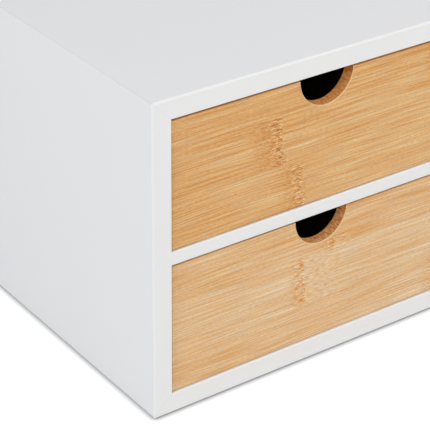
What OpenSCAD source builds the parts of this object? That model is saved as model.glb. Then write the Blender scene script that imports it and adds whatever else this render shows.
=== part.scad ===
// Desktop case with two stacked drawers. The case is lacquered fibreboard with mitred
// corners, a housed shelf and a rebated back. Each drawer is a grooved fibreboard box with
// a bamboo front, and its front has a half-round finger cut-out in place of a handle.
// Units are millimetres. X is the width, Y the depth with the fronts towards -Y, Z is up.
// The origin is on the surface that the pads stand on, under the middle of the case.

/* [Case] */
// Width of the case
case_w = 171; // [140:1:260]
// Depth of the case, from its front edges to its rear edges
case_d = 200; // [150:1:300]
// Clear height of the upper bay
upper_bay_h = 58.5; // [50:0.5:90]
// Clear height of the lower bay
lower_bay_h = 61.5; // [50:0.5:90]
// Thickness of the four outer boards
board_t = 9; // [8:0.5:14]
// Radius of the sanded outer edges
edge_r = 1; // [0.4:0.1:1.5]
// Radius of the lower outer edges, which are only eased
foot_r = 0.4; // [0.2:0.1:1.5]
// Width of the chamfer round the front of each bay
bay_chamfer = 0.3; // [0.1:0.1:0.6]

/* [Corner joints] */
// Thickness of the spline in each mitre
spline_t = 3; // [2:0.5:4]
// Width of a spline, across the mitre
spline_w = 6; // [4:0.5:7]
// Distance from the inner corner to the middle of a spline, along the mitre
spline_in = 5; // [4.5:0.1:5.5]
// Distance that each spline stops short of the front and rear edges
spline_stop = 15; // [8:1:30]
// Space for glue at the end of each tongue, groove and spline
glue_gap = 0.2; // [0.1:0.05:0.4]

/* [Shelf] */
// Thickness of the shelf between the drawers
shelf_t = 6; // [4:0.5:9]
// Depth of the housing that each side board has for the shelf
housing = 3; // [2:0.5:4]
// Length of side board that hides the front end of a housing
housing_stop = 10; // [6:1:20]

/* [Back board] */
// Thickness of the back board
back_t = 3; // [2:0.5:5]
// Width of the rebate that the back board lies in
rebate = 5; // [4:0.5:6]
// Gap between the back board's edges and its rebate
back_gap = 0.3; // [0.1:0.1:0.6]

/* [Drawers] */
// Thickness of a bamboo front
front_t = 6; // [5:0.5:9]
// Distance that the fronts stand back from the case's front edges
front_recess = 1; // [0.2:0.1:3]
// Gap at each end of a front
front_gap_side = 0.5; // [0.4:0.1:1.5]
// Gap above a front
front_gap_top = 1.2; // [0.5:0.1:2]
// Gap below a front
front_gap_bottom = 0.2; // [0.2:0.05:1.5]
// Width of the chamfer round the face of a front
front_chamfer = 0.3; // [0.2:0.1:0.8]
// Radius of the finger cut-out, centred on the front's top edge
finger_r = 13.5; // [9:0.5:18]
// Width of the chamfer round the cut-out
finger_chamfer = 0.4; // [0.2:0.1:0.8]
// Thickness of a drawer's sides and back
side_t = 6; // [5:0.5:8]
// Height of a drawer's sides
side_h = 46; // [30:1:52]
// Radius of the sanded upper edges of the sides and back
rim_r = 1; // [0.4:0.1:2]
// Gap between a drawer's sides and the case
side_gap = 1; // [0.5:0.1:2]
// Running gap under a drawer
slide_gap = 0.2; // [0.1:0.05:0.4]
// Gap between a closed drawer and the back board
rear_gap = 0.5; // [0.3:0.1:3]
// Depth of the rebate that a front has for each side
front_rebate = 3; // [2:0.5:3.5]
// Depth of the rebate that each side has for the drawer's back
corner_rebate = 2; // [1:0.5:3]

/* [Drawer bottoms] */
// Thickness of a drawer's bottom
bottom_t = 3; // [2:0.5:4]
// Height of the bottom's groove above the lower edge of the sides
bottom_lift = 4; // [3:0.5:8]
// Depth of the groove that holds the bottom
groove = 2.5; // [1.5:0.5:3]

/* [Brads] */
// Radius of a brad's shank
brad_r = 0.6; // [0.4:0.1:0.8]
// Length of a brad, head included
brad_len = 14; // [11:1:18]
// Radius of a brad's head
brad_head_r = 1.1; // [0.9:0.1:1.4]
// Thickness of a brad's head
brad_head_t = 0.5; // [0.3:0.1:0.8]
// Clearance round a brad in its hole
brad_gap = 0.05; // [0.02:0.01:0.1]
// Brads along the back board's upper and lower edges
brads_across = 3; // [2:1:6]
// Brads along the back board's left and right edges
brads_up = 2; // [2:1:5]
// Brads through each drawer's bottom into its back
brads_bottom = 3; // [2:1:6]
// Brads through each drawer side into the back
brads_corner = 2; // [1:1:3]

/* [Pads] */
// Radius of a pad
pad_r = 5; // [4:0.5:8]
// Thickness of a pad
pad_t = 1; // [0.8:0.1:3]
// Distance from the case's outer faces to a pad's middle
pad_in = 14; // [10:1:30]

/* [Hidden] */
$fn = 64;

over = 1; // how far a cutting shape runs past the face it opens

// The case, between its outer faces
case_h = upper_bay_h + lower_bay_h + shelf_t + 2 * board_t;
case_z = pad_t;
middle_z = case_z + case_h / 2;
front_y = -case_d / 2;
rear_y = case_d / 2;

// The two bays, between the boards and the shelf
bay_w = case_w - 2 * board_t;
lower_floor_z = case_z + board_t;
shelf_z = lower_floor_z + lower_bay_h;
upper_floor_z = shelf_z + shelf_t;

// The back board, in its rebate
back_y = rear_y - back_t;
back_w = bay_w + 2 * (rebate - back_gap);
back_h = case_h - 2 * board_t + 2 * (rebate - back_gap);

// A drawer. Its Z is measured from the floor of its bay.
front_w = bay_w - 2 * front_gap_side;
face_y = front_y + front_recess;
front_back_y = face_y + front_t;
box_w = bay_w - 2 * side_gap;
box_rear_y = back_y - rear_gap;
box_top_z = slide_gap + side_h;
side_x = box_w / 2 - side_t;
side_y = front_back_y - front_rebate + glue_gap;
side_d = box_rear_y - side_y;
bottom_z = slide_gap + bottom_lift;
back_z = bottom_z + bottom_t;
back_board_y = box_rear_y - side_t;

// ---- shapes that repeat ----

// Where copy number i of count stands when they share a length evenly, from -1 to 1
function spread(i, count) = (2 * i + 1) / count - 1;

// Waste outside a quarter circle: it rounds an edge along Z at the origin, body in +X +Y
module edge_waste(length, radius) {
    translate([0, 0, -over])
        linear_extrude(length + 2 * over)
            difference() {
                translate([-over, -over]) square(radius + over);
                translate([radius, radius]) circle(radius);
            }
}

// The spline across the mitre at one end of a board, or its groove when given a gap
module spline_at(end, length, gap = 0) {
    scale([1, 1, end])
        translate([0, 0, length / 2 - board_t])
            rotate([0, -45, 0])
                translate([-spline_w / 2 - gap, front_y + spline_stop - gap, spline_in - spline_t / 2])
                    cube([spline_w + 2 * gap, case_d - 2 * (spline_stop - gap), spline_t]);
}

// A board of the case, as the left one stands: inner face at X = 0, ends mitred, outer
// edges rounded, a rebate at the rear and a groove in each mitre. The radii are those of
// the front and rear edges, the lower end and the upper end.
module mitred_board(length, face_r = edge_r, low_r = edge_r, high_r = edge_r) {
    difference() {
        translate([0, rear_y, 0])
            rotate([90, 0, 0])
                linear_extrude(case_d)
                    polygon([
                        [-board_t, -length / 2], [0, -length / 2 + board_t],
                        [0, length / 2 - board_t], [-board_t, length / 2],
                    ]);
        translate([-rebate, back_y, -length / 2])
            cube([rebate + over, back_t + over, length]);
        translate([-board_t, front_y, -length / 2])
            edge_waste(length, face_r);
        translate([-board_t, rear_y, -length / 2])
            mirror([0, 1, 0]) edge_waste(length, face_r);
        for (end = [-1, 1]) {
            spline_at(end, length, glue_gap);
            scale([1, 1, end])
                translate([-board_t, rear_y, -length / 2])
                    rotate([90, 0, 0]) edge_waste(case_d, end < 0 ? low_r : high_r);
        }
    }
}

// Waste at the front of a bay: it leaves a chamfer all round, and none past the bay's corners
module bay_mouth(floor_z, height) {
    flare = bay_chamfer + over;
    hull() {
        translate([-bay_w / 2, front_y - over, floor_z])
            cube([bay_w, over + bay_chamfer, height]);
        translate([-bay_w / 2 - flare, front_y - 2 * over, floor_z - flare])
            cube([bay_w + 2 * flare, over, height + 2 * flare]);
    }
}

module bay_mouths() {
    bay_mouth(lower_floor_z, lower_bay_h);
    bay_mouth(upper_floor_z, upper_bay_h);
}

// A brad that points along -Z with the top of its head at the origin, or its hole
module brad(gap = 0) {
    open = gap > 0 ? over : 0;
    translate([0, 0, -brad_len - gap])
        cylinder(r = brad_r + gap, h = brad_len + gap);
    translate([0, 0, -brad_head_t - gap])
        cylinder(r = brad_head_r + gap, h = brad_head_t + gap + open);
}

// Brads through the back board into the four boards of the case
module case_brads(gap = 0) {
    row_x = bay_w / 2 + rebate / 2;
    row_z = case_h / 2 - board_t + rebate / 2;
    for (side = [-1, 1]) {
        for (i = [0 : brads_across - 1])
            translate([row_x * spread(i, brads_across), rear_y, middle_z + side * row_z])
                rotate([-90, 0, 0]) brad(gap);
        for (i = [0 : brads_up - 1])
            translate([side * row_x, rear_y, middle_z + row_z * spread(i, brads_up)])
                rotate([-90, 0, 0]) brad(gap);
    }
}

// Brads through a drawer's sides and bottom into its back
module drawer_brads(gap = 0) {
    row_y = box_rear_y - side_t / 2;
    half_h = (box_top_z - back_z) / 2;
    for (side = [-1, 1])
        for (i = [0 : brads_corner - 1])
            translate([side * box_w / 2, row_y, back_z + half_h * (1 + spread(i, brads_corner))])
                rotate([0, side * 90, 0]) brad(gap);
    for (i = [0 : brads_bottom - 1])
        translate([side_x * spread(i, brads_bottom), row_y, bottom_z])
            rotate([180, 0, 0]) brad(gap);
}

// ---- case ----

module flat_board(radius) {
    translate([0, 0, case_z + case_h - board_t])
        rotate([0, 90, 0]) mitred_board(case_w, radius, radius, radius);
}

module top_board() {
    color("whitesmoke")
        difference() {
            flat_board(edge_r);
            bay_mouths();
            case_brads(brad_gap);
        }
}

module bottom_board() {
    color("whitesmoke")
        difference() {
            translate([0, 0, 2 * middle_z]) mirror([0, 0, 1]) flat_board(foot_r);
            bay_mouths();
            case_brads(brad_gap);
        }
}

// The left side board, with a housing for the shelf that stops short of the front
module side_board() {
    color("whitesmoke")
        difference() {
            translate([-bay_w / 2, 0, middle_z]) mitred_board(case_h, low_r = foot_r);
            translate([-bay_w / 2 - housing, front_y + housing_stop, shelf_z])
                cube([housing + over, case_d, shelf_t]);
            bay_mouths();
            case_brads(brad_gap);
        }
}

module shelf() {
    tongue = housing - glue_gap;
    tongue_y = front_y + housing_stop + glue_gap;
    color("whitesmoke")
        difference() {
            union() {
                translate([-bay_w / 2, front_y, shelf_z])
                    cube([bay_w, back_y - front_y, shelf_t]);
                translate([-bay_w / 2 - tongue, tongue_y, shelf_z])
                    cube([bay_w + 2 * tongue, back_y - tongue_y, shelf_t]);
            }
            bay_mouths();
        }
}

module back_board() {
    color("white")
        difference() {
            translate([-back_w / 2, back_y, middle_z - back_h / 2])
                cube([back_w, back_t, back_h]);
            case_brads(brad_gap);
        }
}

module back_board_brads() {
    color("silver") case_brads();
}

// side is -1 on the left and 1 on the right, end is 1 at the top and -1 at the bottom
module spline(side, end) {
    color("tan")
        scale([-side, 1, 1])
            translate([-bay_w / 2, 0, middle_z]) spline_at(end, case_h);
}

// side is -1 on the left and 1 on the right, end is -1 at the front and 1 at the rear
module pad(side, end) {
    color("dimgray")
        translate([side * (case_w / 2 - pad_in), end * (case_d / 2 - pad_in), 0])
            cylinder(r = pad_r, h = pad_t);
}

// ---- drawers, each on the floor of its bay ----

module drawer_front(bay_h) {
    height = bay_h - front_gap_top - front_gap_bottom;
    top_z = front_gap_bottom + height;
    color("burlywood")
        difference() {
            // the panel, with its face chamfered all round
            hull() {
                translate([-front_w / 2, face_y + front_chamfer, front_gap_bottom])
                    cube([front_w, front_t - front_chamfer, height]);
                translate([-front_w / 2 + front_chamfer, face_y, front_gap_bottom + front_chamfer])
                    cube([front_w - 2 * front_chamfer, front_t, height - 2 * front_chamfer]);
            }
            // the sides' rebates, each open at the end of the front
            for (side = [-1, 1])
                scale([side, 1, 1])
                    translate([side_x, front_back_y - front_rebate, front_gap_bottom - over])
                        cube([front_w / 2 - side_x + over, front_rebate + over,
                              box_top_z - front_gap_bottom + over]);
            // the bottom's groove
            translate([-box_w / 2, front_back_y - groove, bottom_z])
                cube([box_w, groove + over, bottom_t]);
            // the finger cut-out, with a chamfer at each face
            translate([0, face_y + front_t / 2, top_z])
                rotate([90, 0, 0]) {
                    cylinder(r = finger_r, h = front_t + 2 * over, center = true);
                    for (face = [-1, 1])
                        scale([1, 1, face])
                            translate([0, 0, front_t / 2 - finger_chamfer])
                                cylinder(r1 = finger_r, r2 = finger_r + finger_chamfer + over,
                                         h = finger_chamfer + over);
                }
        }
}

// The right side of a drawer
module drawer_side() {
    color("snow")
        difference() {
            translate([side_x, side_y, slide_gap])
                cube([side_t, side_d, side_h]);
            translate([side_x - over, side_y - over, bottom_z])
                cube([groove + over, side_d + 2 * over, bottom_t]);
            translate([side_x - over, back_board_y, back_z])
                cube([corner_rebate + over, side_t + over, side_h]);
            // the upper edges
            for (edge = [-1, 1])
                translate([side_x + side_t / 2, side_y, box_top_z])
                    scale([edge, 1, -1])
                        translate([-side_t / 2, 0, 0])
                            rotate([-90, 0, 0]) mirror([0, 1, 0]) edge_waste(side_d, rim_r);
            drawer_brads(brad_gap);
        }
}

module drawer_back() {
    width = 2 * (side_x + corner_rebate - glue_gap);
    color("snow")
        difference() {
            translate([-width / 2, back_board_y, back_z])
                cube([width, side_t, box_top_z - back_z]);
            for (edge = [-1, 1])
                translate([-width / 2, back_board_y + side_t / 2, box_top_z])
                    scale([1, edge, -1])
                        translate([0, -side_t / 2, 0])
                            rotate([90, 0, 90]) edge_waste(width, rim_r);
            drawer_brads(brad_gap);
        }
}

module drawer_bottom() {
    width = 2 * (side_x + groove - glue_gap);
    start_y = front_back_y - groove + glue_gap;
    color("white")
        difference() {
            translate([-width / 2, start_y, bottom_z])
                cube([width, box_rear_y - start_y, bottom_t]);
            drawer_brads(brad_gap);
        }
}

module in_upper_bay() {
    translate([0, 0, upper_floor_z]) children();
}

module in_lower_bay() {
    translate([0, 0, lower_floor_z]) children();
}

top_board();
bottom_board();
side_board();  // left_side_board
mirror([1, 0, 0]) side_board();  // right_side_board
shelf();
back_board();
back_board_brads();
spline(-1, 1);  // spline_top_left
spline(1, 1);  // spline_top_right
spline(-1, -1);  // spline_bottom_left
spline(1, -1);  // spline_bottom_right
pad(-1, -1);  // pad_front_left
pad(1, -1);  // pad_front_right
pad(-1, 1);  // pad_rear_left
pad(1, 1);  // pad_rear_right
in_upper_bay() drawer_front(upper_bay_h);  // upper_front
in_upper_bay() mirror([1, 0, 0]) drawer_side();  // upper_left_side
in_upper_bay() drawer_side();  // upper_right_side
in_upper_bay() drawer_back();  // upper_back
in_upper_bay() drawer_bottom();  // upper_bottom
color("silver") in_upper_bay() drawer_brads();  // upper_brads
in_lower_bay() drawer_front(lower_bay_h);  // lower_front
in_lower_bay() mirror([1, 0, 0]) drawer_side();  // lower_left_side
in_lower_bay() drawer_side();  // lower_right_side
in_lower_bay() drawer_back();  // lower_back
in_lower_bay() drawer_bottom();  // lower_bottom
color("silver") in_lower_bay() drawer_brads();  // lower_brads
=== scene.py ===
from math import radians

import bmesh
import bpy
from mathutils import Matrix, Vector


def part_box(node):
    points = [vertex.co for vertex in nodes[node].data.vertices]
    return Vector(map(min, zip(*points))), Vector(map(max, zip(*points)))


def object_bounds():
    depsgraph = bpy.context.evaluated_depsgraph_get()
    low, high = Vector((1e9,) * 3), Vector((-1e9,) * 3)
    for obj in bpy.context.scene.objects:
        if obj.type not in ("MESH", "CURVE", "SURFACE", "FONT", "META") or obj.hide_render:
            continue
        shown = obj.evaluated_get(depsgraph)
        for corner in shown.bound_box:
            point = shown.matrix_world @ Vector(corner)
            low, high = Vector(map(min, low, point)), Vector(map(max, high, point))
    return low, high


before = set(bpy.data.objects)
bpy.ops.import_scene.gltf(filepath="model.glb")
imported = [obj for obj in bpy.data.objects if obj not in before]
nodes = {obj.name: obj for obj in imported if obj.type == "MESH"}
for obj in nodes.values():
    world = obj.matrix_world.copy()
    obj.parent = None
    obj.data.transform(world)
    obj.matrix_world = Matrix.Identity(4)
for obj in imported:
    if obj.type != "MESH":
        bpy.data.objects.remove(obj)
bpy.context.view_layer.update()
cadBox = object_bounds()
mmPerMetre = 1000.0
white = (1.0, 1.0, 1.0, 1.0)
noiseLow, noiseHigh = 0.3, 0.7  # nearly all of a noise texture lies between these values
mixA, mixB, mixed = 6, 7, 2  # a Mix node's two inputs and its output for colours
print("frame loaded,", len(nodes), "pieces")


def linear(hexColour):
    # an sRGB hex colour as the linear RGBA that a shader takes
    channels = [int(hexColour[i:i + 2], 16) / 255 for i in (1, 3, 5)]
    return [c / 12.92 if c <= 0.04045 else ((c + 0.055) / 1.055) ** 2.4 for c in channels] + [1.0]


def feed(tree, node, inputs):
    # an input is a value, or the node or socket to link from
    for socket, value in inputs.items():
        if isinstance(value, bpy.types.Node):
            value = value.outputs[0]
        if isinstance(value, bpy.types.NodeSocket):
            tree.links.new(value, node.inputs[socket])
        else:
            node.inputs[socket].default_value = value


def addNode(tree, kind, inputs=None, **settings):
    # settings are the node's own options
    node = tree.nodes.new("ShaderNode" + kind)
    for name, value in settings.items():
        setattr(node, name, value)
    feed(tree, node, inputs or {})
    return node


def emptyTree(owner):
    # the node tree of a new material or world, with nothing in it
    owner.use_nodes = True
    owner.node_tree.nodes.clear()
    return owner.node_tree


def startMaterial(name):
    # a new material with its output, its main shader and Object coordinates in millimetres
    material = bpy.data.materials.new(name)
    tree = emptyTree(material)
    shader = addNode(tree, "BsdfPrincipled")
    addNode(tree, "OutputMaterial", {"Surface": shader})
    place = addNode(tree, "TexCoord").outputs["Object"]
    mm = addNode(tree, "VectorMath", {0: place, "Scale": mmPerMetre}, operation="SCALE")
    return material, tree, shader, mm


def fillRamp(ramp, stops):
    # colour stops as {place: hex}, a new ramp has two stops of its own
    elements = ramp.color_ramp.elements
    elements.remove(elements[1])
    first, *others = sorted(stops.items())
    elements[0].position = first[0]
    elements[0].color = linear(first[1])
    for place, colour in others:
        elements.new(place).color = linear(colour)


def dress(material, *names):
    # the CAD pieces that take this finish
    for name in names:
        slots = nodes[name].data.materials
        slots.clear()
        slots.append(material)


# white satin lacquer on the fibreboard case
lacquer = {
    "colour": "#E8E8E6",
    "roughness": 0.36,
    "roughnessSpread": 0.08,
    "ior": 1.48,
    "peel": 1.1,  # mm between the crests of the sprayed film
    "peelDepth": 0.004,  # mm
    "cloud": 26.0,  # mm, slow change of tone where the film is thicker
    "cloudTone": 0.012,
    "joint": 0.45,  # mm, half the width of the faintly sunken line over each mitre
    "jointTone": 0.035,
    "jointDepth": 3.0,  # in heights of the film's crests
}


def satinLacquer(name, look):
    # sprayed acrylic lacquer: smooth, softly glossy, with a faint orange peel
    material, tree, shader, mm = startMaterial(name)
    low, high = [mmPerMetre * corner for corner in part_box("left_side_board")]
    cloud = addNode(tree, "TexNoise", {"Vector": mm, "Scale": 1 / look["cloud"], "Detail": 2.0})
    peel = addNode(tree, "TexNoise", {"Vector": mm, "Scale": 1 / look["peel"], "Detail": 1.0})

    # the mitre runs at 45 degrees from each outer corner, so both distances are equal on it
    apart = addNode(tree, "SeparateXYZ", {0: mm})
    across = addNode(tree, "Math", {0: apart.outputs["X"]}, operation="ABSOLUTE")
    fromSide = addNode(tree, "Math", {0: -low.x, 1: across}, operation="SUBTRACT")
    up = addNode(tree, "Math", {0: apart.outputs["Z"], 1: (low.z + high.z) / 2},
                 operation="SUBTRACT")
    fromMiddle = addNode(tree, "Math", {0: up}, operation="ABSOLUTE")
    fromTop = addNode(tree, "Math", {0: (high.z - low.z) / 2, 1: fromMiddle}, operation="SUBTRACT")
    offMitre = addNode(tree, "Math", {0: fromSide, 1: fromTop}, operation="SUBTRACT")
    offMitre = addNode(tree, "Math", {0: offMitre}, operation="ABSOLUTE")
    rootTwo = 1.41  # the distances are taken along the boards, the line's width square to the mitre
    joint = addNode(tree, "MapRange", {"Value": offMitre, "From Min": look["joint"] * rootTwo,
                                       "From Max": 0.0}, interpolation_type="SMOOTHSTEP")

    tone = addNode(tree, "MapRange", {"Value": cloud, "From Min": noiseLow, "From Max": noiseHigh,
                                      "To Min": 1 - look["cloudTone"]})
    sunk = addNode(tree, "Math", {0: joint, 1: -look["jointTone"], 2: tone},
                   operation="MULTIPLY_ADD")
    colour = addNode(tree, "Mix", {"Factor": 1.0, mixA: linear(look["colour"]), mixB: sunk},
                     data_type="RGBA", blend_type="MULTIPLY")
    rough = addNode(tree, "MapRange", {"Value": cloud, "From Min": noiseLow, "From Max": noiseHigh,
                                       "To Min": look["roughness"],
                                       "To Max": look["roughness"] + look["roughnessSpread"]})
    height = addNode(tree, "Math", {0: joint, 1: -look["jointDepth"], 2: peel},
                     operation="MULTIPLY_ADD")
    bump = addNode(tree, "Bump", {"Height": height, "Distance": look["peelDepth"] / mmPerMetre})
    feed(tree, shader, {"Base Color": colour.outputs[mixed], "Roughness": rough, "Normal": bump,
                        "IOR": look["ior"]})
    return material


dress(satinLacquer("whiteSatinLacquer", lacquer), "top_board", "bottom_board", "left_side_board",
      "right_side_board", "shelf")
print("case lacquered")


# flat-pressed bamboo fronts. x, z and lengths are in mm in the frame, and a strip lies between
# two seams. A knuckle is where a strip crosses a joint of the cane: a shade lies on its left, pale
# rungs and dark pits on its line, hooked fibres and pale flecks on its right. A size is the length
# and thickness of a mark, and a slope is the noise at which it starts and at which it is full.
upperFront = {
    "node": "upper_front",
    "seed": 11.0,  # picks its own stretch of the noise
    "seams": (99.5, 122.4),
    "stripTones": (0.640, 0.625, 0.572),  # at the middle, from the bottom strip up
    "stripLeans": (0.13, 0.14, -0.02),  # tone gained from the left end to the right one
    "contrast": 1.06,  # of the fibres
    "stops": {0.0: "#B06018", 0.25: "#CA8033", 0.45: "#D59650", 0.6: "#DBA567", 0.75: "#E0B47C",
              0.9: "#E5C490", 1.0: "#E9CE9E"},
    "wallStops": {0.0: "#98501C", 0.5: "#DC8B3F", 1.0: "#EEB97A"},  # of the cut-out's wall
    "wallContrast": 1.6,
    "pitSize": (0.9, 0.5),
    "knuckles": [  # a line's place, the heights it joins, and how strong and wide its marks are
        {"x": -23.6, "lean": -0.13, "from": 99.7, "to": 122.0, "shade": 0.12, "reach": 17.0,
         "rungs": 0.46, "pits": 0.85, "hooks": 1.3, "flecks": 0.0, "spread": 4.0},
        {"x": -12.5, "lean": -0.09, "from": 76.6, "to": 98.9, "shade": 0.09, "reach": 12.0,
         "rungs": 0.42, "pits": 0.60, "hooks": 1.4, "flecks": 0.0, "spread": 4.0},
        {"x": 61.0, "lean": 0.10, "from": 122.4, "to": 145.3, "shade": 0.12, "reach": 9.0,
         "rungs": 0.35, "pits": 0.3, "hooks": 1.0, "flecks": 0.0, "spread": 4.0},
    ],
}
lowerFront = {
    "node": "lower_front",
    "seed": 37.0,
    "seams": (28.2, 52.3),
    "stripTones": (0.588, 0.643, 0.530),
    "stripLeans": (0.11, 0.07, 0.0),
    "contrast": 1.02,
    "stops": {0.0: "#CD7800", 0.25: "#D59246", 0.45: "#DCA66A", 0.6: "#E1B583", 0.75: "#E5C49C",
              0.9: "#EAD3B4", 1.0: "#EEDDC4"},
    "wallStops": {0.0: "#A0551F", 0.5: "#DF9149", 1.0: "#EDC08C"},
    "wallContrast": 2.6,
    "pitSize": (1.6, 0.65),
    "knuckles": [
        {"x": -9.3, "lean": -0.09, "from": 28.4, "to": 52.0, "shade": 0.11, "reach": 8.0,
         "rungs": 0.34, "pits": 0.60, "hooks": 0.75, "flecks": 1.15, "spread": 30.0},
        {"x": 6.6, "lean": 0.0, "from": 50.4, "to": 56.8, "shade": 0.07, "reach": 6.0,
         "rungs": 0.30, "pits": 0.45, "hooks": 0.5, "flecks": 1.1, "spread": 16.0},
        {"x": 66.0, "lean": 0.08, "from": 4.1, "to": 28.2, "shade": 0.06, "reach": 8.0,
         "rungs": 0.3, "pits": 0.35, "hooks": 0.8, "flecks": 0.6, "spread": 14.0},
    ],
}
knuckleLook = {
    "jag": 3.2,  # mm that the line strays
    "jagSize": (30.0, 2.2),
    "slant": 0.32,  # mm that hooks and mottling fall over one mm to the right
    "mottle": 6.5,  # how much the mottling counts beside the shade that it lies in
    "mottleSize": (2.8, 0.8),
    "shadeFull": 0.4,  # of its reach to the left, from where it is full
    "shadeEnd": 2.5,  # right of the line
    "rungSize": (3.6, 0.62),
    "rungSlope": (-0.06, 0.12),
    "rungTones": (-0.45, 0.75),  # between the rungs and on them
    "rungPlace": (-5.0, -2.6, 0.8, 2.4),  # right of the line: the start, full, still full, the end
    "pitSlope": (0.06, 0.15),
    "pitPlace": (-1.5, -0.3, 0.4, 1.4),
    "hookSize": (2.2, 0.6),
    "hookPlace": (-0.8, 0.6, 1.8, 4.2),
    "fleckSize": (2.8, 0.6),
    "fleckFull": 3.0,  # right of the line
    "fleckFade": 0.4,  # of their spread, where they start to thin out
    "seamFade": (0.4, 0.3),  # outside and inside its strip, between which a knuckle fades
}
bambooLook = {
    "streaks": [  # sizes of fibre, and how much each counts
        {"length": 1.7, "thickness": 0.32, "gain": 0.55},
        {"length": 34.0, "thickness": 0.55, "gain": 0.95},
        {"length": 45.0, "thickness": 1.4, "gain": 0.30},
        {"length": 70.0, "thickness": 7.0, "gain": 0.30},
    ],
    "stripSeed": 40.0,  # apart, so that no strip goes on in the next one
    "flow": 3.0,  # mm that all the fibres drift together
    "flowSize": (60.0, 16.0),
    "stray": 0.25,  # mm that one fibre strays from straight
    "straySize": (9.0, 1.6),
    "thrown": 1.6,  # mm that fibres are thrown at a knuckle
    "calmThrown": 0.15,  # how much the straight fibres fade where others are thrown
    "calmBroken": 0.65,  # and where they are broken into flecks
    "brokenTone": 0.02,  # paler where they are broken
    "tints": ("#FFFFF4", "#F6FAFF"),  # golden fibres and paler ones
    "tintSize": (12.0, 1.0),
    "tintSlope": 0.12,  # noise to either side of 0 between the two tints
    "glueLine": 0.14,  # mm, half its width
    "glueTone": 0.05,
    "shadedEnds": 3.5,  # mm, how fast the painted shade that darkens the ends fades
    "shadedEndTone": 0.09,
    "topEdgeShade": "#FFECD2",  # painted shade on the upper edge, as in the gap above the front
    "cutRadius": 13.5,  # of the cut-out
    "highlightRimWidth": 0.45,  # mm of paler rim round the cut-out, a painted highlight on its chamfer
    "highlightRimFull": 0.6,  # of its width, where it has its full colour
    "highlightRimColour": "#E6C08C",
    "wallStreak": (0.56, 2.4),  # mm along the cut-out's wall and into it
    "wallTone": 0.64,
    "wallTopShadeDepth": 6.0,  # mm below the upper edge to which the painted shade under the board above reaches
    "wallTopShade": 0.45,  # tone lost to it at the upper edge
    "wallSkin": 0.08,  # mm past the radius that still counts as the wall
    "endStops": {0.2: "#9F6D3E", 0.5: "#B98853", 0.8: "#CD9F6B"},
    "endDots": 0.6,  # mm between the cut fibres of the sawn ends
    "skin": 0.1,  # mm below the surface that still counts as the end or the upper edge
    "roughness": 0.46,
    "roughnessSpread": 0.12,  # dark fibres are the rougher ones
    "roughFibres": 0.15,  # fibre tone to either side of 0 between rough and smooth
    "grainDepth": 0.012,  # mm
    "ior": 1.5,
}


def stretched(tree, vector, along, across, seed, detail=1.0):
    # noise about 0, whose features are along mm long and across mm thick
    scaled = addNode(tree, "VectorMath", {0: vector, 1: (1 / along, 1 / across, 1.0)},
                     operation="MULTIPLY")
    scaled = addNode(tree, "VectorMath", {0: scaled, 1: (0.0, 0.0, seed)}, operation="ADD")
    noise = addNode(tree, "TexNoise", {"Vector": scaled, "Scale": 1.0, "Detail": detail})
    return addNode(tree, "Math", {0: noise, 1: 0.5}, operation="SUBTRACT")


def hump(tree, value, start, full, still, end):
    # 0 outside start and end, 1 from full to still, smooth on both sides
    rise = addNode(tree, "MapRange", {"Value": value, "From Min": start, "From Max": full},
                   interpolation_type="SMOOTHSTEP")
    fall = addNode(tree, "MapRange", {"Value": value, "From Min": end, "From Max": still},
                   interpolation_type="SMOOTHSTEP")
    return addNode(tree, "Math", {0: rise, 1: fall}, operation="MULTIPLY")


def byStrip(tree, z, seams, values):
    # one value for each strip, from the bottom one up
    value = values[0]
    for seam, below, above in zip(seams, values, values[1:]):
        over = addNode(tree, "Math", {0: z, 1: seam}, operation="GREATER_THAN")
        value = addNode(tree, "Math", {0: over, 1: above - below, 2: value},
                        operation="MULTIPLY_ADD")
    return value


def knuckleNoises(tree, x, z, flat, board, look):
    # the jagged run of the lines, and the noise that each kind of mark is made of
    falling = addNode(tree, "Math", {0: x, 1: look["slant"], 2: z}, operation="MULTIPLY_ADD")
    slanted = addNode(tree, "CombineXYZ", {0: x, 1: falling, 2: board["seed"]})
    jag = stretched(tree, flat, *look["jagSize"], seed=1.0)
    jag = addNode(tree, "Math", {0: jag, 1: look["jag"]}, operation="MULTIPLY")
    rungs = stretched(tree, flat, *look["rungSize"], seed=3.0)
    (start, full), (between, crest) = look["rungSlope"], look["rungTones"]
    rungs = addNode(tree, "MapRange", {"Value": rungs, "From Min": start, "From Max": full,
                                       "To Min": between, "To Max": crest},
                    interpolation_type="SMOOTHSTEP")
    pits = stretched(tree, flat, *board["pitSize"], seed=4.0)
    start, full = look["pitSlope"]
    pits = addNode(tree, "MapRange", {"Value": pits, "From Min": start, "From Max": full},
                   interpolation_type="SMOOTHSTEP")
    return jag, {
        "rungs": rungs,
        "pits": pits,
        "hooks": stretched(tree, slanted, *look["hookSize"], seed=5.0),
        "flecks": stretched(tree, flat, *look["fleckSize"], seed=6.0),
        "mottle": stretched(tree, slanted, *look["mottleSize"], seed=2.0, detail=2.0),
    }


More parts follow.
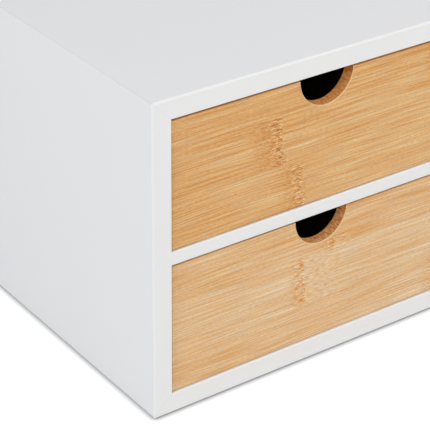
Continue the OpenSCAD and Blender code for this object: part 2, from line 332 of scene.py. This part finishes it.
def knuckleMarks(tree, x, z, jag, noises, knuckle, look):
    # the change of tone round one knuckle, how far fibres are thrown there and how broken they are
    middle = (knuckle["from"] + knuckle["to"]) / 2
    atZero = knuckle["x"] - knuckle["lean"] * middle  # the line's place at no height
    line = addNode(tree, "Math", {0: z, 1: knuckle["lean"], 2: atZero}, operation="MULTIPLY_ADD")
    line = addNode(tree, "Math", {0: line, 1: jag}, operation="ADD")
    off = addNode(tree, "Math", {0: x, 1: line}, operation="SUBTRACT")
    outside, within = look["seamFade"]
    inside = hump(tree, z, knuckle["from"] - outside, knuckle["from"] + within,
                  knuckle["to"] - within, knuckle["to"] + outside)
    reach, spread = knuckle["reach"], knuckle["spread"]
    places = {
        "rungs": look["rungPlace"],
        "pits": look["pitPlace"],
        "hooks": look["hookPlace"],
        "flecks": (0.0, look["fleckFull"], spread * look["fleckFade"], spread),
        "mottle": (-reach, -look["shadeFull"] * reach, 0.0, look["shadeEnd"]),
    }
    gains = {"rungs": knuckle["rungs"], "pits": -knuckle["pits"], "hooks": knuckle["hooks"],
             "flecks": knuckle["flecks"], "mottle": knuckle["shade"] * look["mottle"]}
    change = 0.0
    masks = {}
    for mark, place in places.items():
        masks[mark] = hump(tree, off, *place)
        seen = addNode(tree, "Math", {0: masks[mark], 1: noises[mark]}, operation="MULTIPLY")
        change = addNode(tree, "Math", {0: seen, 1: gains[mark], 2: change},
                         operation="MULTIPLY_ADD")
    change = addNode(tree, "Math", {0: masks["mottle"], 1: -knuckle["shade"], 2: change},
                     operation="MULTIPLY_ADD")
    change = addNode(tree, "Math", {0: change, 1: inside}, operation="MULTIPLY")
    near = addNode(tree, "Math", {0: masks["mottle"], 1: masks["hooks"]}, operation="MAXIMUM")
    near = addNode(tree, "Math", {0: near, 1: inside}, operation="MULTIPLY")
    broken = addNode(tree, "Math", {0: masks["flecks"], 1: inside}, operation="MULTIPLY")
    broken = addNode(tree, "Math", {0: broken, 1: min(1.0, knuckle["flecks"])},
                     operation="MULTIPLY")
    return change, near, broken


def addCutOut(tree, x, y, down, face, board, look):
    # over the face's colour: a paler rim, a painted highlight on its chamfer, then a streaked wall
    # with painted shade near its top
    spoke = addNode(tree, "CombineXYZ", {0: x, 1: down})
    radius = addNode(tree, "VectorMath", {0: spoke}, operation="LENGTH").outputs["Value"]
    # painted highlight: a paler rim where the chamfer round the cut-out catches the light
    fullHighlight = look["highlightRimWidth"] * look["highlightRimFull"]
    rimHighlight = addNode(tree, "MapRange", {"Value": radius,
                                     "From Min": look["cutRadius"] + look["highlightRimWidth"],
                                     "From Max": look["cutRadius"] + fullHighlight})
    highlighted = addNode(tree, "Mix", {"Factor": rimHighlight, mixA: face, mixB: linear(look["highlightRimColour"])},
                     data_type="RGBA")
    angle = addNode(tree, "Math", {0: down, 1: x}, operation="ARCTAN2")
    arc = addNode(tree, "Math", {0: angle, 1: look["cutRadius"]}, operation="MULTIPLY")
    wallPlace = addNode(tree, "CombineXYZ", {0: arc, 1: y, 2: board["seed"]})
    wallGrain = stretched(tree, wallPlace, *look["wallStreak"], seed=30.0)
    # painted shade: the wall darker near its top, under the board above
    nearTop = addNode(tree, "MapRange", {"Value": down, "From Min": -look["wallTopShadeDepth"],
                                         "From Max": 0.0}, interpolation_type="SMOOTHSTEP")
    wallTone = addNode(tree, "Math", {0: nearTop, 1: -look["wallTopShade"], 2: look["wallTone"]},
                       operation="MULTIPLY_ADD")
    wallTone = addNode(tree, "Math", {0: wallGrain, 1: board["wallContrast"], 2: wallTone},
                       operation="MULTIPLY_ADD")
    wall = addNode(tree, "ValToRGB", {0: wallTone})
    fillRamp(wall, board["wallStops"])
    inCut = addNode(tree, "Math", {0: radius, 1: look["cutRadius"] + look["wallSkin"]},
                    operation="LESS_THAN")
    cut = addNode(tree, "Mix", {"Factor": inCut, mixA: highlighted.outputs[mixed], mixB: wall},
                  data_type="RGBA")
    return cut.outputs[mixed]


def pressedBamboo(name, board, look):
    # sanded and oiled bamboo strips: matt, with fine straight fibres, crooked at each knuckle
    material, tree, shader, mm = startMaterial(name)
    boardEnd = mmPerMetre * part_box(board["node"])[1]  # its right, rear, upper corner
    apart = addNode(tree, "SeparateXYZ", {0: mm})
    x, y, z = apart.outputs
    flat = addNode(tree, "CombineXYZ", {0: x, 1: z, 2: board["seed"]})
    seams = board["seams"]
    tone = byStrip(tree, z, seams, board["stripTones"])
    lean = byStrip(tree, z, seams, [gained / (2 * boardEnd.x) for gained in board["stripLeans"]])
    tone = addNode(tree, "Math", {0: x, 1: lean, 2: tone}, operation="MULTIPLY_ADD")

    jag, noises = knuckleNoises(tree, x, z, flat, board, knuckleLook)
    sums = [0.0, 0.0, 0.0]
    for knuckle in board["knuckles"]:
        own = knuckleMarks(tree, x, z, jag, noises, knuckle, knuckleLook)
        sums = [addNode(tree, "Math", {0: a, 1: b}, operation="ADD") for a, b in zip(sums, own)]
    change, near, broken = sums

    # fibres: long thin noise, drifting a little and thrown off line near a knuckle
    drift = stretched(tree, flat, *look["flowSize"], seed=7.0)
    stray = stretched(tree, flat, *look["straySize"], seed=8.0)
    thrown = addNode(tree, "Math", {0: noises["hooks"], 1: look["thrown"]}, operation="MULTIPLY")
    thrown = addNode(tree, "Math", {0: thrown, 1: near}, operation="MULTIPLY")
    height = addNode(tree, "Math", {0: z, 1: y}, operation="ADD")
    height = addNode(tree, "Math", {0: drift, 1: look["flow"], 2: height}, operation="MULTIPLY_ADD")
    height = addNode(tree, "Math", {0: stray, 1: look["stray"], 2: height},
                     operation="MULTIPLY_ADD")
    height = addNode(tree, "Math", {0: height, 1: thrown}, operation="ADD")
    seeds = [board["seed"] + look["stripSeed"] * i for i in range(len(board["stripTones"]))]
    fibre = addNode(tree, "CombineXYZ", {0: x, 1: height, 2: byStrip(tree, z, seams, seeds)})
    fibres = 0.0
    for i, streak in enumerate(look["streaks"]):
        noise = stretched(tree, fibre, streak["length"], streak["thickness"], seed=9.0 + i)
        fibres = addNode(tree, "Math", {0: noise, 1: streak["gain"] * board["contrast"], 2: fibres},
                         operation="MULTIPLY_ADD")
    calm = addNode(tree, "Math", {0: near, 1: -look["calmThrown"], 2: 1.0},
                   operation="MULTIPLY_ADD")
    calm = addNode(tree, "Math", {0: broken, 1: -look["calmBroken"], 2: calm},
                   operation="MULTIPLY_ADD")
    tone = addNode(tree, "Math", {0: fibres, 1: calm, 2: tone}, operation="MULTIPLY_ADD")
    tone = addNode(tree, "Math", {0: tone, 1: change}, operation="ADD")
    tone = addNode(tree, "Math", {0: broken, 1: look["brokenTone"], 2: tone},
                   operation="MULTIPLY_ADD")
    for seam in seams:
        offSeam = addNode(tree, "Math", {0: z, 1: seam}, operation="SUBTRACT")
        offSeam = addNode(tree, "Math", {0: offSeam}, operation="ABSOLUTE")
        glue = addNode(tree, "MapRange", {"Value": offSeam, "From Min": look["glueLine"],
                                          "From Max": 0.0}, interpolation_type="SMOOTHSTEP")
        tone = addNode(tree, "Math", {0: glue, 1: -look["glueTone"], 2: tone},
                       operation="MULTIPLY_ADD")
    face = addNode(tree, "ValToRGB", {0: tone})
    fillRamp(face, board["stops"])

    # a golden or pale tint along the fibres, and painted shade darkening the ends
    tint = stretched(tree, fibre, *look["tintSize"], seed=20.0)
    tint = addNode(tree, "MapRange", {"Value": tint, "From Min": -look["tintSlope"],
                                      "From Max": look["tintSlope"]},
                   interpolation_type="SMOOTHSTEP")
    golden, pale = [linear(colour) for colour in look["tints"]]
    tint = addNode(tree, "Mix", {"Factor": tint, mixA: golden, mixB: pale}, data_type="RGBA")
    # painted shade: both ends of the front darker, fading over a few mm
    aside = addNode(tree, "Math", {0: x}, operation="ABSOLUTE")
    endShade = addNode(tree, "Math", {0: aside, 1: boardEnd.x}, operation="SUBTRACT")
    endShade = addNode(tree, "Math", {0: endShade, 1: look["shadedEnds"]}, operation="DIVIDE")
    endShade = addNode(tree, "Math", {0: endShade}, operation="EXPONENT")
    endShade = addNode(tree, "Math", {0: endShade, 1: -look["shadedEndTone"], 2: 1.0},
                     operation="MULTIPLY_ADD")
    tint = addNode(tree, "Mix", {"Factor": 1.0, mixA: tint.outputs[mixed], mixB: endShade},
                   data_type="RGBA", blend_type="MULTIPLY")
    face = addNode(tree, "Mix", {"Factor": 1.0, mixA: face, mixB: tint.outputs[mixed]},
                   data_type="RGBA", blend_type="MULTIPLY")
    down = addNode(tree, "Math", {0: z, 1: boardEnd.z}, operation="SUBTRACT")
    cut = addCutOut(tree, x, y, down, face.outputs[mixed], board, look)

    # sawn ends with dots of cut fibre, and the upper edge
    dots = addNode(tree, "TexNoise", {"Vector": mm, "Scale": 1 / look["endDots"], "Detail": 2.0})
    ends = addNode(tree, "ValToRGB", {0: dots})
    fillRamp(ends, look["endStops"])
    atEnd = addNode(tree, "Math", {0: aside, 1: boardEnd.x - look["skin"]},
                    operation="GREATER_THAN")
    sawn = addNode(tree, "Mix", {"Factor": atEnd, mixA: cut, mixB: ends}, data_type="RGBA")
    # painted shade: the upper edge darker and more orange than the face
    atTop = addNode(tree, "Math", {0: z, 1: boardEnd.z - look["skin"]}, operation="GREATER_THAN")
    colour = addNode(tree, "Mix", {"Factor": atTop, mixA: sawn.outputs[mixed],
                                   mixB: linear(look["topEdgeShade"])},
                     data_type="RGBA", blend_type="MULTIPLY")

    rough = addNode(tree, "MapRange", {"Value": fibres, "From Min": -look["roughFibres"],
                                       "From Max": look["roughFibres"],
                                       "To Min": look["roughness"] + look["roughnessSpread"],
                                       "To Max": look["roughness"]})
    bump = addNode(tree, "Bump", {"Height": fibres, "Distance": look["grainDepth"] / mmPerMetre})
    feed(tree, shader, {"Base Color": colour.outputs[mixed], "Roughness": rough, "Normal": bump,
                        "IOR": look["ior"]})
    return material


dress(pressedBamboo("oiledBambooUpper", upperFront, bambooLook), "upper_front")
dress(pressedBamboo("oiledBambooLower", lowerFront, bambooLook), "lower_front")
print("bamboo fronts finished")


# drawer boxes, back board and the pieces out of sight
fibreboard = {  # sanded sheet of fine wood fibre: dull light brown, evenly flecked
    "stops": {0.2: "#A4855C", 0.5: "#B5966D", 0.8: "#C2A57D"},
    "fibre": 0.35,  # mm
    "fleck": 1.6,  # mm
    "roughness": 0.82,
    "roughnessSpread": 0.06,
    "fuzz": 0.02,  # mm
}
hardboard = {  # hot-pressed sheet: darker and smoother
    "stops": {0.2: "#7F5D3B", 0.5: "#8C6944", 0.8: "#98754F"},
    "fibre": 0.5,
    "fleck": 2.4,
    "roughness": 0.6,
    "roughnessSpread": 0.06,
    "fuzz": 0.015,
}
coatedBoard = {  # hardboard under a thin white film: dull white, nearly even
    "stops": {0.25: "#E3E3E0", 0.5: "#E5E5E2", 0.75: "#E7E7E4"},
    "fibre": 1.2,
    "fleck": 6.0,
    "roughness": 0.5,
    "roughnessSpread": 0.06,
    "fuzz": 0.008,
}
rubber = {  # closed-cell foam rubber: dull dark grey with fine cells
    "stops": {0.25: "#2B2B2C", 0.5: "#343436", 0.75: "#3E3E40"},
    "fibre": 0.5,
    "fleck": 2.0,
    "roughness": 0.8,
    "roughnessSpread": 0.06,
    "fuzz": 0.03,
}


def feltedBoard(name, look):
    # pressed fibre or foam: dull, with fine flecks over broader clouds
    material, tree, shader, mm = startMaterial(name)
    fibre = addNode(tree, "TexNoise", {"Vector": mm, "Scale": 1 / look["fibre"], "Detail": 3.0})
    fleck = addNode(tree, "TexNoise", {"Vector": mm, "Scale": 1 / look["fleck"], "Detail": 2.0})
    tone = addNode(tree, "Math", {0: fibre, 1: fleck}, operation="ADD")
    tone = addNode(tree, "Math", {0: tone, 1: 0.5}, operation="MULTIPLY")  # their mean
    tone = addNode(tree, "MapRange", {"Value": tone, "From Min": noiseLow, "From Max": noiseHigh})
    colour = addNode(tree, "ValToRGB", {0: tone})
    fillRamp(colour, look["stops"])
    bump = addNode(tree, "Bump", {"Height": fibre, "Distance": look["fuzz"] / mmPerMetre})
    rough = addNode(tree, "MapRange", {"Value": fleck, "From Min": noiseLow, "From Max": noiseHigh,
                                       "To Min": look["roughness"] - look["roughnessSpread"],
                                       "To Max": look["roughness"] + look["roughnessSpread"]})
    feed(tree, shader, {"Base Color": colour, "Roughness": rough, "Normal": bump})
    return material


rawBoard = feltedBoard("rawFibreboard", fibreboard)
rawHardboard = feltedBoard("rawHardboard", hardboard)
for drawer in ("upper", "lower"):
    dress(rawBoard, drawer + "_left_side", drawer + "_right_side", drawer + "_back")
    dress(rawHardboard, drawer + "_bottom")
dress(feltedBoard("whiteCoatedHardboard", coatedBoard), "back_board")
dress(feltedBoard("foamRubber", rubber), "pad_front_left", "pad_front_right", "pad_rear_left",
      "pad_rear_right")

plywood = {
    "stops": {0.3: "#B8946A", 0.5: "#D3B68D", 0.7: "#DDC49E"},
    "ply": 1.0,  # mm, thickness of one ply
    "waver": 0.2,  # of the plies' edges
    "grain": 0.5,  # mm
    "grainDepth": 0.02,  # mm
    "roughness": 0.6,
}


def birchPly(name, look):
    # thin birch plies, every other one seen end on and darker
    material, tree, shader, mm = startMaterial(name)
    turned = addNode(tree, "VectorRotate", {"Vector": mm, "Angle": radians(45)},
                     rotation_type="Y_AXIS")
    waveLength = 0.314  # of a wave texture whose scale is 1
    plies = addNode(tree, "TexWave", {"Vector": turned, "Scale": waveLength / look["ply"],
                                      "Distortion": look["waver"]}, bands_direction="X")
    grain = addNode(tree, "TexNoise", {"Vector": mm, "Scale": 1 / look["grain"], "Detail": 2.0})
    tone = addNode(tree, "Math", {0: plies.outputs["Fac"], 1: grain}, operation="ADD")
    tone = addNode(tree, "Math", {0: tone, 1: 0.5}, operation="MULTIPLY")  # their mean
    colour = addNode(tree, "ValToRGB", {0: tone})
    fillRamp(colour, look["stops"])
    bump = addNode(tree, "Bump", {"Height": grain, "Distance": look["grainDepth"] / mmPerMetre})
    feed(tree, shader, {"Base Color": colour, "Normal": bump, "Roughness": look["roughness"]})
    return material


dress(birchPly("birchPlywood", plywood), "spline_top_left", "spline_top_right",
      "spline_bottom_left", "spline_bottom_right")

steel = {
    "colour": "#B9BBBD",
    "roughness": 0.34,
    "roughnessSpread": 0.1,
    "draw": 0.4,  # mm between the marks left by the drawing die
    "drawDepth": 0.004,  # mm
}


def drawnSteel(name, look):
    # bright drawn wire: metallic, with fine marks
    material, tree, shader, mm = startMaterial(name)
    marks = addNode(tree, "TexNoise", {"Vector": mm, "Scale": 1 / look["draw"], "Detail": 2.0})
    rough = addNode(tree, "MapRange", {"Value": marks,
                                       "To Min": look["roughness"] - look["roughnessSpread"],
                                       "To Max": look["roughness"] + look["roughnessSpread"]})
    bump = addNode(tree, "Bump", {"Height": marks, "Distance": look["drawDepth"] / mmPerMetre})
    feed(tree, shader, {"Base Color": linear(look["colour"]), "Metallic": 1.0, "Roughness": rough,
                        "Normal": bump})
    return material


dress(drawnSteel("brightDrawnSteel", steel), "back_board_brads", "upper_brads", "lower_brads")
print("drawer boxes, back and hidden pieces finished")


# a plain pale room with four soft lamps round the case
studio = {
    "ambient": 0.528,  # world level on the object
    "ambientColour": "#FFFFFF",
    "floorSize": 3.0,  # m, half its side
    "floorColour": "#EAEFF8",  # of the light that it sends back to the case
    "floorSeen": "#7C7C7C",  # how much of its shadow shows where it is seen
    "floorGlow": 0.95,  # added where the floor is seen, which makes it white
    "contact": 0.003,  # m, reach of the shade close to the case
    "contactSamples": 16,
}
softboxes = {
    "keySoftbox": {"place": (0.05, -1.4, 0.56), "size": 1.1, "power": 3.052, "tint": "#FFF8DB"},
    "sideSoftbox": {"place": (-1.05, -0.40, 0.62), "size": 1.2, "power": 5.749, "tint": "#FFFCFA"},
    "topSoftbox": {"place": (-0.25, -0.25, 1.35), "size": 0.8, "power": 1.386, "tint": "#9AB3FF"},
    "edgeSoftbox": {"place": (0.60, -0.70, 0.98), "size": 0.5, "power": 3.494, "tint": "#FFFEFF"},
}


def lookedAt(tree):
    # 1 for rays from the camera, also by way of gloss or glass, 0 for the light on the case
    rays = addNode(tree, "LightPath").outputs
    seen = addNode(tree, "Math", {0: rays["Is Camera Ray"], 1: rays["Is Glossy Ray"]},
                   operation="MAXIMUM")
    return addNode(tree, "Math", {0: seen, 1: rays["Is Transmission Ray"]}, operation="MAXIMUM")


world = bpy.data.worlds.new("studio")
bpy.context.scene.world = world
tree = emptyTree(world)
seen = lookedAt(tree)
level = addNode(tree, "MapRange", {"Value": seen, "To Min": studio["ambient"]})
sky = addNode(tree, "Mix", {"Factor": seen, mixA: linear(studio["ambientColour"]), mixB: white},
              data_type="RGBA")
background = addNode(tree, "Background", {"Color": sky.outputs[mixed], "Strength": level})
addNode(tree, "OutputWorld", {"Surface": background})

paper = bpy.data.materials.new("palePaper")  # seamless studio paper: matt, shown as plain white
tree = emptyTree(paper)
seen = lookedAt(tree)
contact = addNode(tree, "AmbientOcclusion", {"Distance": studio["contact"]},
                  samples=studio["contactSamples"])
level = addNode(tree, "Math", {0: seen, 1: studio["floorGlow"]}, operation="MULTIPLY")
level = addNode(tree, "Math", {0: level, 1: contact.outputs["AO"]}, operation="MULTIPLY")
glow = addNode(tree, "Emission", {"Color": white, "Strength": level})
tone = addNode(tree, "Mix", {"Factor": seen, mixA: linear(studio["floorColour"]),
                             mixB: linear(studio["floorSeen"])}, data_type="RGBA")
matt = addNode(tree, "BsdfDiffuse", {"Color": tone.outputs[mixed]})
both = addNode(tree, "AddShader", {0: matt, 1: glow})
addNode(tree, "OutputMaterial", {"Surface": both})

floorMesh = bpy.data.meshes.new("floor")
shape = bmesh.new()
bmesh.ops.create_grid(shape, x_segments=1, y_segments=1, size=studio["floorSize"])
shape.to_mesh(floorMesh)
shape.free()
floorMesh.materials.append(paper)
floor = bpy.data.objects.new("floor", floorMesh)
bpy.context.scene.collection.objects.link(floor)

caseMiddle = (Vector(cadBox[0]) + Vector(cadBox[1])) / 2
for name, box in softboxes.items():
    lamp = bpy.data.lights.new(name, "AREA")
    lamp.size = box["size"]
    lamp.energy = box["power"]
    lamp.color = linear(box["tint"])[:3]
    softbox = bpy.data.objects.new(name, lamp)
    softbox.location = box["place"]
    softbox.rotation_euler = (caseMiddle - Vector(box["place"])).to_track_quat("-Z", "Y").to_euler()
    bpy.context.scene.collection.objects.link(softbox)

cameraSetup = {
    "place": (-0.4217, -0.60629, 0.43811),
    "heading": 35.8555,  # degrees from +Y towards +X
    "tilt": 29.2663,  # degrees below level
    "roll": 0.6026,
    "lens": 150.73,  # mm
    "sensor": 36.0,  # mm wide
    "nearClip": 0.05,  # m
}
lens = bpy.data.cameras.new("camera")
lens.lens = cameraSetup["lens"]
lens.sensor_width = cameraSetup["sensor"]
lens.clip_start = cameraSetup["nearClip"]
camera = bpy.data.objects.new("camera", lens)
camera.matrix_world = (Matrix.Translation(cameraSetup["place"])
                       @ Matrix.Rotation(-radians(cameraSetup["heading"]), 4, "Z")
                       @ Matrix.Rotation(radians(90 - cameraSetup["tilt"]), 4, "X")
                       @ Matrix.Rotation(radians(cameraSetup["roll"]), 4, "Z"))
bpy.context.scene.collection.objects.link(camera)
bpy.context.scene.camera = camera
bpy.context.scene.view_settings.view_transform = "Standard"
print("studio and camera set")

bpy.context.view_layer.update()
